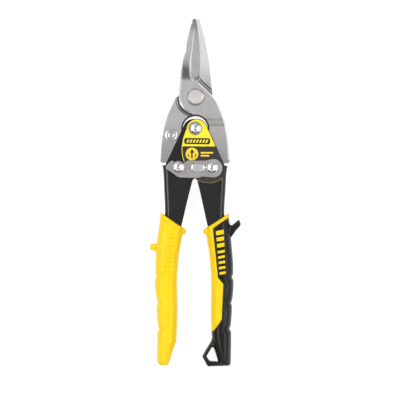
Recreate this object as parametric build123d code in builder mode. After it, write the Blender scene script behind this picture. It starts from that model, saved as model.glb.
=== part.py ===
"""Compound-action aviation snips, latched shut.

Units are millimetres. The origin is on the blade pivot's axis, at the flat end of the pivot bolt, which is
level with the undersides of the grips: the tool lies flat on that plane. +X is to the right, +Y runs along
the tool towards the blade tips, and +Z is up, towards the side that shows the bolt head and the latch.

Heights are given from MID, the plane in which the two blades slide on each other, through level().
"""
import os
from math import cos, hypot, radians, sin, tan

from build123d import *

os.makedirs("parts", exist_ok=True)

# ---- driving dimensions ----------------------------------------------------------------------------------
MID = 11.0                      # height of the blades' contact plane over the rest plane
HANDLE_PIVOT = (0.0, -22.4)     # rivet that joins the two handles
TANG_PIVOT = (12.0, -50.3)      # rivet of the right tang; the left one is its mirror image
TIP_Y = 56.4                    # blade tips
GRIP_HALF = 11.0                # half the depth of a grip
GRIP_EDGE = 4.0                 # rounding of the grips' long edges

# blades
BLADE_T = 5.0                   # forging thickness round the pivot and in the tang
BLADE_GAP = 0.05                # each blade stays this far from the contact plane
TANG_HALF = 2.5                 # half the tang's thickness
SPINE_DROP = 2.0                # how far a jaw's spine reaches past the contact plane
EDGE_T = 1.2                    # thickness of a jaw at its cutting edge
EDGE_SLOPE = 7                  # from there it thickens towards the step at this angle, in degrees
STEP_LEAN = (-4.0, -3.0, 5.0)   # direction in which the step itself rises
DISC_R = 12.1                   # round end of the blade about the pivot
RELIEF_R = 13.6                 # foot of the round step that clears the other blade's disc
RELIEF_TOP_R = 14.5             # top of that step
OPENING_R = 9.0                 # round opening about the handle pivot
LOBE_R = 6.8                    # round end of the tang about its rivet
BEVEL_WIDTH = 1.25              # bright bevel on the upper outer edges, seen from above
BEVEL_DEPTH = 0.6
LOWER_BEVEL = 0.8               # bevel on the lower outer edges
HEEL = (2.5, 13.9)              # where the cutting edge ends
DIAGONAL_TOP = (1.7, 11.4)      # start of the straight edge that runs down over the pivot
DIAGONAL_END = (14.4, -0.6)     # where that edge meets the tang's outer side
DISC_FOOT = 78                  # how far round the disc reaches on the tang's side, in degrees
JAW_TIP = (-0.2, 56.1)
FREE = 0.4                      # the jaw's back stays this far from the other blade's cutting edge
RELIEF_CORNER = (-10.5, 5.5)
EDGE_X = 2.9                    # the cutting edge lies this far from the middle

# handles
SHEET_T = 2.0                   # both handles are pressed from this sheet
LEFT_INSIDE = 2.7               # half the gap between the left handle's walls
LEFT_OUTSIDE = LEFT_INSIDE + SHEET_T
RIGHT_INSIDE = 4.8
RIGHT_OUTSIDE = RIGHT_INSIDE + SHEET_T
WALL_TOP_Y = -48.8              # where the channel's outer wall begins
HANDLE_END_Y = -166.0
BEND_R = 3.4                    # outside radius of the channel's bends
LABEL_T = 0.15
ARCH = (0.6, -22.8)             # centre of the handle's arched top
ARCH_R = 7.2
WAIST = (1.7, -59.4)            # where the inner edge begins, under the latch

# fasteners
BOLT_R = 4.0
BOLT_HEX = 10.6                 # across flats
BOLT_HEAD_T = 4.2
NUT_HEX = 13.0
NUT_COLLAR = 1.0                # height of the nut's round collar, which holds the nylon ring
INSERT_R = 4.9                  # nylon ring
HEX_CHAMFER = 0.4               # width of the chamfer round a hex
HEAD_CONE = 35                  # slope of that chamfer, in degrees from the hex's face
WASHER_T = 1.5
WASHER_RIM = 1.0                # the washer stands this far out round the nut
WASHER_CHAMFER = 0.3
RIVET_R = 3.0                   # shank of the handle and tang rivets
RIVET_HEAD_R = 4.5
RIVET_HEAD_T = 2.4
DOME_R = 6.3                    # the heads' domes are parts of a sphere
BURR_T = 0.8                    # washer under a rivet's closed end
BURR_R = 4.6
CLOSED_T = 1.1                  # the closed end itself
CLOSED_R = 3.9
SPACER_R = 4.4                  # spacers on each side of the right tang
RUNNING = 0.05                  # radial clearance of a running fit
OPEN_PIVOT_GAP = 0.3            # radial clearance at the left tang rivet
SIDE_GAP = 0.1                  # between flat faces that slide on each other

# latch
LATCH_BOTTOM = 8.0
LATCH_T = 1.6
LATCH_TOP = LATCH_BOTTOM + LATCH_T
LIP_BOTTOM = 7.05
LATCH_BEVEL = 0.35
LATCH_CORNER_R = 0.8
LATCH_HOLE = (-0.9, -47.8)      # small round hole beside the stud
LATCH_HOLE_R = 0.7
LATCH_WASHER_R = 4.6
LIP = (-3.35, -57.0)            # middle of the lip bent down along the lower edge
LIP_LENGTH = 13.4
LIP_T = 1.4
NECK_BOTTOM = 7.4
HOOK_NECK_R = 1.5               # left tang rivet where the latch hooks on
HOOK_R = 2.0                    # round bottom of the latch's hook

STUD = (2.1, -50.5)             # thumb stud, riveted to the latch
STUD_LENGTH = 9.7
STUD_WIDTH = 6.2
STUD_T = 1.8
STUD_ROUND = 0.9                # rounding of the stud's upper edge
STUD_NECK_R = 1.8
STUD_CLOSED = 0.6               # height and overhang of the neck's closed end

# return spring
WIRE = 1.5
COIL_R = 5.5                    # to the middle of the wire
COILS = 3
SLEEVE_R = 4.4                  # the sleeve that the spring is wound on
LEG = 15.0
LEG_LEAN = 0.16                 # how far a leg leans outwards, for each millimetre down


def level(height):
    """Plane parallel to the rest plane, at a height from the blades' contact plane."""
    return Plane.XY.offset(MID + height)


def mirrored(point):
    return (-point[0], point[1])


def at(point, height):
    """Plane whose origin is over a point in plan."""
    return Plane((point[0], point[1], MID + height))


def save(part, name):
    part.label = name
    export_step(part, f"parts/{name}.step")


# ---- blades ----------------------------------------------------------------------------------------------
# The front blade has its jaw on the left and its tang on the right. The rear one is the same forging turned
# over about the Y axis.
disc_foot = (-2.5, -DISC_R * sin(radians(DISC_FOOT)))

with BuildSketch() as blade_plan:
    with BuildLine():
        back = ThreePointArc((-DISC_R, 0), (-9.3, 26.8), (-2.75, 55.2))
        tip = ThreePointArc(back @ 1, (-1.5, TIP_Y), JAW_TIP)
        cutting_edge = ThreePointArc(JAW_TIP, (2.85, 31.0), HEEL)
        Polyline(HEEL, DIAGONAL_TOP, DIAGONAL_END)
        shoulder = Spline(DIAGONAL_END, (18.3, -8.4), (22.4, -21.3), (24.4, -35.7), (24.8, -45.2))
        corner = ThreePointArc(shoulder @ 1, (24.5, -46.5), (23.6, -47.0))
        Polyline(corner @ 1, (17.0, -47.3), TANG_PIVOT, (5.3, -49.0), (8.7, -26.0), (0.3, -15.5), disc_foot)
        disc_side = (-DISC_R * cos(radians(DISC_FOOT / 2 + 3)), -DISC_R * sin(radians(DISC_FOOT / 2 + 3)))
        ThreePointArc(disc_foot, disc_side, (-DISC_R, 0))
    make_face()
    with Locations(TANG_PIVOT):
        Circle(LOBE_R)
    with Locations(HANDLE_PIVOT):
        Circle(OPENING_R, mode=Mode.SUBTRACT)

# side view of the forging, as (y, height): the pivot and jaw stand forward of the tang
with BuildPart() as side_form:
    with BuildSketch(Plane.YZ.offset(-50).shift_origin((-50, 0, MID))):
        with BuildLine():
            jaw_slope = Spline((58, 1.9), (40, 2.5), (28, 3.0), (18.5, 3.95), (10.5, BLADE_T),
                               tangents=((-1, 0.035), (-1, 0)))
            hub = Line(jaw_slope @ 1, (-12.5, BLADE_T))
            joggle = Spline(hub @ 1, (-17.75, (BLADE_T + TANG_HALF) / 2), (-23, TANG_HALF),
                            tangents=((-1, 0), (-1, 0)))
            Polyline(joggle @ 1, (-60, TANG_HALF), (-60, -TANG_HALF), (2, -TANG_HALF), (11, -SPINE_DROP),
                     (58, -1.0), jaw_slope @ 0)
        make_face()
    extrude(amount=100)

# what the jaw leaves free for the other blade, below the contact plane
with BuildSketch(level(BLADE_GAP)) as jaw_relief:
    with BuildLine():
        start = (-JAW_TIP[0] - FREE - 0.2, 58)
        edge = ThreePointArc(start, (-2.85 - FREE, 31.0), (-HEEL[0] - FREE, 12.6))
        Polyline(edge @ 1, RELIEF_CORNER, (-14, 3.6), (-14, 0), (20, 0), (20, 58), start)
    make_face()

# the jaw's thin side, above: it slopes from the leaning step down to the cutting edge
edge_plane = Plane(origin=(EDGE_X, 0, MID + EDGE_T),
                   x_dir=(cos(radians(EDGE_SLOPE)), 0, -sin(radians(EDGE_SLOPE))),
                   z_dir=(sin(radians(EDGE_SLOPE)), 0, cos(radians(EDGE_SLOPE))))
with BuildPart() as edge_step:
    with BuildSketch(edge_plane):
        with BuildLine():
            step = Spline((-0.2 - EDGE_X, 66.0), (-1.3 - EDGE_X, 46.0), (-2.6 - EDGE_X, 34.0),
                          (-3.4 - EDGE_X, 24.0), (-2.4 - EDGE_X, 17.6), (2.8 - EDGE_X, 11.8))
            Polyline(step @ 1, (20, 11), (20, 66), step @ 0)
        make_face()
    extrude(amount=5, dir=STEP_LEAN)


# the round step below, which clears the other blade's disc on the tang's side
with BuildPart() as disc_relief:
    with Locations((0, 0, MID + BLADE_GAP)):
        Cone(RELIEF_R + 2 * (RELIEF_TOP_R - RELIEF_R), RELIEF_R, 2 * TANG_HALF,
             align=(Align.CENTER, Align.CENTER, Align.MAX))
    split(bisect_by=Plane.XZ, keep=Keep.TOP)

# the sloped crescent below, at the foot of the jaw's spine
crescent_plane = Plane(origin=(*RELIEF_CORNER, MID), x_dir=(-0.686, 0.728, 0), z_dir=(0.728, 0.686, 0))
with BuildPart() as crescent:
    with BuildSketch(crescent_plane):
        with BuildLine():
            Polyline((-1, BLADE_GAP), (0, BLADE_GAP), (1.4, -3), (-1, -3), close=True)
        make_face()
    extrude(amount=12, both=True)


def is_outer_edge(edge):
    """Whether an edge is one of the outer ones along the top: the jaw's back, the disc or the shoulder."""
    middle = edge @ 0.5
    on_top = middle.Z > MID + 1.5
    on_back = middle.X < -6
    on_disc = middle.Y < 0 and middle.X < 0 and abs(hypot(middle.X, middle.Y) - DISC_R) < 0.01
    on_shoulder = middle.X > 16 and -45.5 < middle.Y
    along = abs(edge.tangent_at(0.5).Y) > 0.5
    return on_top and along and (on_back or on_disc or on_shoulder)


def is_lower_edge(edge):
    """Whether an edge is one of the long outer ones along the bottom: the jaw's spine or the shoulder."""
    middle = edge @ 0.5
    on_spine = middle.X < -6 and middle.Y > 8
    on_shoulder = middle.X > 16 and -45.5 < middle.Y
    return middle.Z < MID - 0.5 and edge.length > 20 and (on_spine or on_shoulder)


def forged_blade(bore_r, tang_bore_r):
    """One blade, in the front blade's place."""
    with BuildPart() as blade:
        with BuildSketch(level(-TANG_HALF)):
            add(blade_plan.sketch)
        extrude(amount=TANG_HALF + BLADE_T)
        add(side_form.part, mode=Mode.INTERSECT)
        add(jaw_relief.sketch)
        extrude(amount=-10, mode=Mode.SUBTRACT)
        add(edge_step.part, mode=Mode.SUBTRACT)
        add(disc_relief.part, mode=Mode.SUBTRACT)
        add(crescent.part, mode=Mode.SUBTRACT)
        chamfer(blade.edges().filter_by(is_outer_edge), length=BEVEL_DEPTH, length2=BEVEL_WIDTH)
        chamfer(blade.edges().filter_by(is_lower_edge), LOWER_BEVEL)
        with Locations(level(0)):
            Hole(bore_r, depth=20)
        with Locations(at(TANG_PIVOT, 0)):
            Hole(tang_bore_r, depth=20)
    return blade.part


blade_front = forged_blade(BOLT_R, RIVET_R + RUNNING)
blade_rear_flat = forged_blade(BOLT_R + RUNNING, RIVET_R + OPEN_PIVOT_GAP)
blade_rear = blade_rear_flat.rotate(Axis((0, 0, MID), (0, 1, 0)), 180)
save(blade_front, "blade_front")
save(blade_rear, "blade_rear")


# ---- handles ---------------------------------------------------------------------------------------------
# The right handle in plan. The left one is its mirror image, pressed narrower so that it nests inside.
with BuildSketch() as handle_plan:
    with BuildLine():
        inner_bulge = Spline((ARCH[0] - ARCH_R, ARCH[1]), (-9.9, -35.7), (-7.6, -47.5), WAIST,
                             tangents=((-0.3, -1), (1, -0.9)))
        inner_edge = Spline(WAIST, (6.0, -77.3), (9.6, -93.0), (14.2, -112), (15.5, -130),
                            (15.6, HANDLE_END_Y), tangents=((0.25, -1), (0, -1)))
        end = Line(inner_edge @ 1, (24.2, HANDLE_END_Y))
        outer_edge = Spline(end @ 1, (24.9, -130), (24.0, -108), (21.3, -84), (22.0, -66),
                            (23.4, WALL_TOP_Y), tangents=((0, 1), (0.2, 1)))
        wall_top = Line(outer_edge @ 1, (21.3, WALL_TOP_Y))
        outer_slope = Line(wall_top @ 1, (8.4, -20.7))
        arch = ThreePointArc(outer_slope @ 1, (ARCH[0], ARCH[1] + ARCH_R), inner_bulge @ 0)
    make_face()

# what the press leaves open between the walls: all but the outer wall, which follows the outer edge
with BuildSketch() as handle_hollow:
    with BuildLine():
        wall_inside = Spline((24.2 - SHEET_T, HANDLE_END_Y), (24.9 - SHEET_T, -130), (24.0 - SHEET_T, -108),
                             (21.3 - SHEET_T, -84), (22.0 - SHEET_T, -66), (23.4 - SHEET_T, WALL_TOP_Y),
                             tangents=((0, 1), (0.2, 1)))
        Polyline(wall_inside @ 1, (30, WALL_TOP_Y), (30, 0), (-30, 0), (-30, HANDLE_END_Y), wall_inside @ 0)
    make_face()


def channel_handle(inside, outside, pivot_bore_r):
    """A pressed channel, in the right handle's place."""
    with BuildPart() as channel:
        with BuildSketch(level(-outside)):
            add(handle_plan.sketch)
        extrude(amount=2 * outside)
        bends = channel.edges().filter_by(lambda e: e.center().X > 21 and e.center().Y < WALL_TOP_Y - 8)
        bends = bends.filter_by(lambda e: abs(abs(e.center().Z - MID) - outside) < 0.01)
        fillet(bends, BEND_R)
        with BuildSketch(level(-inside)):
            add(handle_hollow.sketch)
        extrude(amount=2 * inside, mode=Mode.SUBTRACT)
        with Locations(at(HANDLE_PIVOT, 0)):
            Hole(pivot_bore_r, depth=20)
        with Locations(at(TANG_PIVOT, 0)):
            Hole(RIVET_R, depth=20)
    return channel.part


handle_right = channel_handle(RIGHT_INSIDE, RIGHT_OUTSIDE, RIVET_R)
handle_left = channel_handle(LEFT_INSIDE, LEFT_OUTSIDE, RIVET_R + RUNNING).mirror(Plane.YZ)
save(handle_right, "handle_right")
save(handle_left, "handle_left")


# ---- grips -----------------------------------------------------------------------------------------------
# Each grip is moulded round the end of its handle, with three swells for the fingers on its outer side.
LOOP_HOLE = ((12.9, -179.3), (14.4, -179.6), (17.7, -189.2), (11.8, -188.8), (9.6, -185.6))

with BuildSketch() as grip_left_plan:
    with BuildLine():
        Polyline((-26.3, -188.4), (-26.1, -176.0), (-25.2, -165.7))
        ThreePointArc((-25.2, -165.7), (-27.0, -155.5), (-26.3, -147.3))
        ThreePointArc((-26.3, -147.3), (-28.3, -136.5), (-27.4, -129.6))
        ThreePointArc((-27.4, -129.6), (-27.9, -121.0), (-27.5, -113.0))
        Polyline((-27.5, -113.0), (-28.7, -110.7), (-31.7, -109.9), (-31.8, -105.3), (-27.3, -105.0))
        Spline((-27.3, -105.0), (-25.2, -94.0), (-24.6, -82.4))
        Polyline((-24.6, -82.4), (-9.3, -92.7), (-6.3, -94.9), (-6.1, -97.8), (-8.4, -98.2))
        inner_left = Spline((-8.4, -98.2), (-10.9, -114.0), (-12.1, -133.0), (-11.5, -153.0),
                            (-12.3, -175.0))
        Polyline(inner_left @ 1, (-17.5, -191.2))
        ThreePointArc((-17.5, -191.2), (-18.2, -192.1), (-19.2, -192.4))
        Line((-19.2, -192.4), (-21.8, -192.4))
        ThreePointArc((-21.8, -192.4), (-25.2, -191.2), (-26.3, -188.4))
    make_face()

with BuildSketch() as grip_right_plan:
    with BuildLine():
        Polyline((27.0, -189.7), (26.8, -176.0), (25.9, -165.7))
        ThreePointArc((25.9, -165.7), (27.2, -155.0), (26.3, -147.3))
        ThreePointArc((26.3, -147.3), (28.3, -138.0), (27.4, -129.6))
        Spline((27.4, -129.6), (28.0, -122.0), (26.8, -107.0), (26.3, -100.3))
        Polyline((26.3, -100.3), (29.8, -95.4), (33.0, -91.8), (33.2, -90.0), (32.2, -87.4), (31.4, -87.5),
                 (27.6, -90.7), (26.1, -91.2), (25.3, -90.3), (24.8, -88.0), (24.8, -82.5))
        Polyline((24.8, -82.5), (9.7, -92.4), (6.5, -94.6), (6.7, -97.9), (8.2, -98.2))
        inner_right = Spline((8.2, -98.2), (10.9, -114.0), (12.2, -133.0), (12.2, -155.0), (13.1, -172.5))
        Polyline(inner_right @ 1, (10.8, -177.1), (6.6, -184.2), (6.3, -186.4), (9.6, -192.0))
        ThreePointArc((9.6, -192.0), (10.6, -192.8), (12.2, -193.0))
        Line((12.2, -193.0), (24.2, -192.4))
        ThreePointArc((24.2, -192.4), (26.2, -191.6), (27.0, -189.7))
    make_face()

# the inner part of the right grip, in yellow; the rest of it is the black overmould
with BuildSketch() as core_plan:
    with BuildLine():
        Polyline((24.9, -85.6), (14.0, -93.1), (13.1, -94.6), (13.9, -101.0), (16.4, -122.6),
                 (17.0, -128.7), (21.0, -133.3), (19.9, -158.5), (14.6, -166.4), (12.5, -167.4),
                 (0, -167.4), (0, -80), (26, -80), close=True)
    make_face()


def moulded_grip(plan):
    """A grip as a solid with rounded long edges."""
    with BuildPart() as grip:
        with BuildSketch(level(-GRIP_HALF)):
            add(plan)
        extrude(amount=2 * GRIP_HALF)
        long_edges = grip.edges().filter_by(GeomType.BSPLINE).filter_by(lambda e: e.length > 20)
        fillet(long_edges, GRIP_EDGE)
    return grip.part


with BuildPart() as grip_left:
    add(moulded_grip(grip_left_plan.sketch))
    add(handle_left, mode=Mode.SUBTRACT)

with BuildPart() as grip_right:
    add(moulded_grip(grip_right_plan.sketch))
    with BuildSketch(level(-GRIP_HALF)):
        Polygon(*LOOP_HOLE, align=None)
    extrude(amount=2 * GRIP_HALF, mode=Mode.SUBTRACT)
    add(handle_right, mode=Mode.SUBTRACT)

with BuildPart() as core_form:
    with BuildSketch(level(-GRIP_HALF)):
        add(core_plan.sketch)
    extrude(amount=2 * GRIP_HALF)

with BuildPart() as grip_right_core:
    add(grip_right.part)
    add(core_form.part, mode=Mode.INTERSECT)

with BuildPart() as grip_right_cover:
    add(grip_right.part)
    add(core_form.part, mode=Mode.SUBTRACT)

save(grip_left.part, "grip_left")
save(grip_right_core.part, "grip_right_core")
save(grip_right_cover.part, "grip_right_cover")

# ---- blade pivot -----------------------------------------------------------------------------------------
# Bolt head in front; washer, nut and its nylon ring at the back. The bolt's end is level with the nut's.
WASHER_TOP = -(BLADE_T + SIDE_GAP)
NUT_TOP = WASHER_TOP - WASHER_T
NUT_COLLAR_TOP = -MID + NUT_COLLAR


def hexagon(plane, across_flats, height, turn):
    """A hex solid with its upper corners chamfered."""
    with BuildPart() as solid:
        with BuildSketch(plane):
            RegularPolygon(across_flats / 2, 6, major_radius=False, rotation=turn)
        extrude(amount=height)
        cap = across_flats / 2 - HEX_CHAMFER
        rim = cap + height / tan(radians(HEAD_CONE))
        with Locations(plane):
            Cone(rim, cap, height, align=(Align.CENTER, Align.CENTER, Align.MIN), mode=Mode.INTERSECT)
    return solid.part


with BuildPart() as pivot_bolt:
    add(hexagon(level(BLADE_T), BOLT_HEX, BOLT_HEAD_T, 9))
    with BuildSketch(level(-MID)):
        Circle(BOLT_R)
    extrude(amount=MID + BLADE_T)

with BuildPart() as pivot_washer:
    with BuildSketch(level(WASHER_TOP)):
        Circle(NUT_HEX / 2 + WASHER_RIM)
        Circle(BOLT_R, mode=Mode.SUBTRACT)
    extrude(amount=-WASHER_T)
    rims = pivot_washer.edges().filter_by(GeomType.CIRCLE).sort_by(SortBy.RADIUS)[-2:]
    chamfer(rims, WASHER_CHAMFER)

with BuildPart() as pivot_nut:
    nut_plane = Plane(origin=(0, 0, MID + NUT_TOP), z_dir=(0, 0, -1))
    add(hexagon(nut_plane, NUT_HEX, NUT_TOP - NUT_COLLAR_TOP, 0))
    with BuildSketch(level(-MID)):
        Circle(NUT_HEX / 2 - 1.0)
    extrude(amount=NUT_COLLAR)
    with Locations(level(0)):
        Hole(BOLT_R, depth=20)
    with BuildSketch(level(-MID)):
        Circle(INSERT_R)
    extrude(amount=NUT_COLLAR, mode=Mode.SUBTRACT)

with BuildPart() as nut_insert:
    with BuildSketch(level(-MID)):
        Circle(INSERT_R)
        Circle(BOLT_R, mode=Mode.SUBTRACT)
    extrude(amount=NUT_COLLAR)

save(pivot_bolt.part, "pivot_bolt")
save(pivot_washer.part, "pivot_washer")
save(pivot_nut.part, "pivot_nut")
save(nut_insert.part, "nut_insert")


# ---- rivets ----------------------------------------------------------------------------------------------
def domed_head(centre, height):
    """The domed head of a rivet, facing up."""
    with BuildPart() as head:
        with BuildSketch(at(centre, height)):
            Circle(RIVET_HEAD_R)
        extrude(amount=RIVET_HEAD_T)
        with Locations((centre[0], centre[1], MID + height + RIVET_HEAD_T - DOME_R)):
            Sphere(DOME_R, mode=Mode.INTERSECT)
    return head.part


def shank(centre, bottom, top, radius):
    with BuildPart() as pin:
        with BuildSketch(at(centre, bottom)):
            Circle(radius)
        extrude(amount=top - bottom)
    return pin.part


def ring(centre, bottom, top, outer_r, inner_r):
    """A washer, sleeve or spacer."""
    with BuildPart() as tube:
        with BuildSketch(at(centre, bottom)):
            Circle(outer_r)
            Circle(inner_r, mode=Mode.SUBTRACT)
        extrude(amount=top - bottom)
    return tube.part


for place, centre, head_at in (("handle_pivot", HANDLE_PIVOT, RIGHT_OUTSIDE),
                               ("right_tang", TANG_PIVOT, LATCH_TOP + SIDE_GAP)):
    burr_bottom = -RIGHT_OUTSIDE - BURR_T
    with BuildPart() as rivet:
        add(shank(centre, burr_bottom, head_at, RIVET_R))
        add(domed_head(centre, head_at))
        add(shank(centre, burr_bottom - CLOSED_T, burr_bottom, CLOSED_R))
    save(rivet.part, f"rivet_{place}")
    save(ring(centre, burr_bottom, -RIGHT_OUTSIDE, BURR_R, RIVET_R), f"burr_washer_{place}")

# the left tang rivet is waisted where the latch hooks on, under its head
LEFT_TANG_PIVOT = mirrored(TANG_PIVOT)
left_burr_bottom = -LEFT_OUTSIDE - BURR_T
with BuildPart() as rivet_left_tang:
    add(shank(LEFT_TANG_PIVOT, left_burr_bottom, NECK_BOTTOM, RIVET_R))
    add(shank(LEFT_TANG_PIVOT, NECK_BOTTOM, LATCH_TOP + SIDE_GAP, HOOK_NECK_R))
    add(domed_head(LEFT_TANG_PIVOT, LATCH_TOP + SIDE_GAP))
    add(shank(LEFT_TANG_PIVOT, left_burr_bottom - CLOSED_T, left_burr_bottom, CLOSED_R))
save(rivet_left_tang.part, "rivet_left_tang")
save(ring(LEFT_TANG_PIVOT, left_burr_bottom, -LEFT_OUTSIDE, BURR_R, RIVET_R), "burr_washer_left_tang")

# the right tang is thinner than its channel, so a spacer fills the gap on each side of it
save(ring(TANG_PIVOT, TANG_HALF + SIDE_GAP, RIGHT_INSIDE, SPACER_R, RIVET_R), "tang_spacer_front")
save(ring(TANG_PIVOT, -RIGHT_INSIDE, -TANG_HALF - SIDE_GAP, SPACER_R, RIVET_R), "tang_spacer_back")

# ---- return spring, wound on a sleeve between the left handle's walls ------------------------------------
SPRING_HALF = LEFT_INSIDE - SIDE_GAP
COIL_PITCH = (2 * SPRING_HALF - WIRE) / (COILS - 1)
save(ring(HANDLE_PIVOT, -SPRING_HALF, SPRING_HALF, SLEEVE_R, RIVET_R), "spring_sleeve")

with BuildPart() as return_spring:
    for turn in range(COILS):
        with Locations(at(HANDLE_PIVOT, -SPRING_HALF + WIRE / 2 + turn * COIL_PITCH)):
            Torus(COIL_R, WIRE / 2)
    for side, height in ((1, SPRING_HALF - WIRE / 2), (-1, -SPRING_HALF + WIRE / 2)):
        leg_top = (side * COIL_R, HANDLE_PIVOT[1], MID + height)
        with BuildSketch(Plane(origin=leg_top, z_dir=(-side * LEG_LEAN, -1, 0))):
            Circle(WIRE / 2)
        extrude(amount=LEG)
save(return_spring.part, "return_spring")

# ---- latch, pinned under the right tang rivet's head -----------------------------------------------------
with BuildSketch() as latch_plan:
    with BuildLine():
        Polyline((-15.2, -45.8), (-16.6, -45.7), (-19.0, -47.7), (-20.9, -50.6), (-20.2, -51.6),
                 (-16.6, -53.9), (-13.0, -56.6))
        Spline((-13.0, -56.6), (-11.6, -57.3), (-10.1, -57.7), tangents=((1, -0.75), (1, 0)))
        Polyline((-10.1, -57.7), (3.4, -57.7), (5.1, -56.8), (13.6, -57.5))
        ThreePointArc((13.6, -57.5), (19.3, -52.2), (16.6, -45.2))
        ThreePointArc((16.6, -45.2), (13.6, -44.3), (10.6, -44.6))
        Polyline((10.6, -44.6), (7.1, -45.4), (-5.3, -45.4), (-7.6, -47.6), (-15.2, -45.8))
    make_face()
    fillet(latch_plan.vertices().filter_by(lambda v: v.X > -8 and v.Y > -47), LATCH_CORNER_R)

hook_slot = ((-15.6, -45.6), (LEFT_TANG_PIVOT[0] - HOOK_R, LEFT_TANG_PIVOT[1]),
             (LEFT_TANG_PIVOT[0] + HOOK_R, LEFT_TANG_PIVOT[1]), (-7.7, -47.4), (-7.7, -44.0), (-15.6, -44.0))

with BuildPart() as latch:
    with BuildSketch(level(LATCH_BOTTOM)):
        add(latch_plan.sketch)
        Polygon(*hook_slot, align=None, mode=Mode.SUBTRACT)
        with Locations(LEFT_TANG_PIVOT):
            Circle(HOOK_R, mode=Mode.SUBTRACT)
        with Locations(TANG_PIVOT):
            Circle(RIVET_R + RUNNING, mode=Mode.SUBTRACT)
        with Locations(LATCH_HOLE):
            Circle(LATCH_HOLE_R, mode=Mode.SUBTRACT)
        with Locations(STUD):
            Circle(STUD_NECK_R, mode=Mode.SUBTRACT)
    extrude(amount=LATCH_T)
    with BuildSketch(level(LATCH_BOTTOM)):
        with Locations(LIP):
            Rectangle(LIP_LENGTH, LIP_T)
    extrude(amount=LIP_BOTTOM - LATCH_BOTTOM)
    top_rim = latch.faces().sort_by(Axis.Z)[-1].outer_wire().edges()
    chamfer(top_rim, LATCH_BEVEL)
save(latch.part, "latch")

with BuildPart() as latch_stud:
    with BuildSketch(level(LATCH_TOP)):
        with Locations(STUD):
            SlotOverall(STUD_LENGTH, STUD_WIDTH)
    extrude(amount=STUD_T)
    fillet(latch_stud.edges().group_by(Axis.Z)[-1], STUD_ROUND)
    add(shank(STUD, LATCH_BOTTOM, LATCH_TOP, STUD_NECK_R))
    add(shank(STUD, LATCH_BOTTOM - STUD_CLOSED, LATCH_BOTTOM, STUD_NECK_R + STUD_CLOSED))
save(latch_stud.part, "latch_stud")
save(ring(TANG_PIVOT, RIGHT_OUTSIDE, LATCH_BOTTOM - SIDE_GAP, LATCH_WASHER_R, RIVET_R), "latch_washer")

# ---- front label, stuck on the right handle --------------------------------------------------------------
with BuildPart() as front_label:
    with BuildSketch(level(RIGHT_OUTSIDE)):
        with BuildLine():
            label_foot = ThreePointArc((-2, -57.2), (9.4, -61.5), (21.5, -57.0))
            Polyline(label_foot @ 1, (21.5, 0), (-20, 0), (-20, -57.2), label_foot @ 0)
        make_face()
        add(handle_plan.sketch, mode=Mode.INTERSECT)
        with Locations(HANDLE_PIVOT, TANG_PIVOT):
            Circle(RIVET_HEAD_R + 0.2, mode=Mode.SUBTRACT)
    extrude(amount=LABEL_T)
save(front_label.part, "front_label")
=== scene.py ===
"""Looks of the aviation snips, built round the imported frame. Shapes are worked out in millimetres."""
from collections import namedtuple
from math import cos, pi, radians, sin

import bpy
import numpy as np
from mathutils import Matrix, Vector
from mathutils.geometry import delaunay_2d_cdt


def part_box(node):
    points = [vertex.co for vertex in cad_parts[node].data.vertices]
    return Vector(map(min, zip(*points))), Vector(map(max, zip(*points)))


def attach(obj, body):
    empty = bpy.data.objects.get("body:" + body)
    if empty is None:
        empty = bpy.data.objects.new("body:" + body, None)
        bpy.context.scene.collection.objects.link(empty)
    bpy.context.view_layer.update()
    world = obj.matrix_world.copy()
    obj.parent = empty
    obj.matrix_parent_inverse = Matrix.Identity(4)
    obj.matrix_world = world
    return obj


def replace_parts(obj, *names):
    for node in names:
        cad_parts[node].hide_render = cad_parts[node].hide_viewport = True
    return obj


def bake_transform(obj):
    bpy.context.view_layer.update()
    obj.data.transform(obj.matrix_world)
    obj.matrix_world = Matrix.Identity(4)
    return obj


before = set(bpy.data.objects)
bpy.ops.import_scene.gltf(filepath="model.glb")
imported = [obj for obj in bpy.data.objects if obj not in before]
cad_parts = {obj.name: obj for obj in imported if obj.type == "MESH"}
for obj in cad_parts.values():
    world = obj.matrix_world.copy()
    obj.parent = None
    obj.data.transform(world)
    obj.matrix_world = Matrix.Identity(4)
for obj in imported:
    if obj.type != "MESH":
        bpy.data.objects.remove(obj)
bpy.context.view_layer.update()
MM = 0.001


def box_mm(node):
    low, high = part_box(node)
    return low / MM, high / MM


GRIP_LOW, GRIP_HIGH = box_mm("grip_left")
MID = (GRIP_LOW.z + GRIP_HIGH.z) / 2          # the plane in which the blades slide on each other
GRIP_HALF = (GRIP_HIGH.z - GRIP_LOW.z) / 2
TANG_TOP = MID + 2.5                          # the tangs are 5 mm thick, with that plane in their middle
LABEL_TOP = box_mm("front_label")[1].z
SPRING_LOW, SPRING_HIGH = box_mm("return_spring")
RIVET = (0.0, -22.4)                          # the axis that the handles turn on


# ---- materials ----
COLOUR_A, COLOUR_B, COLOUR_RESULT = 6, 7, 2   # the sockets of a Mix node that carry colours


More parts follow.
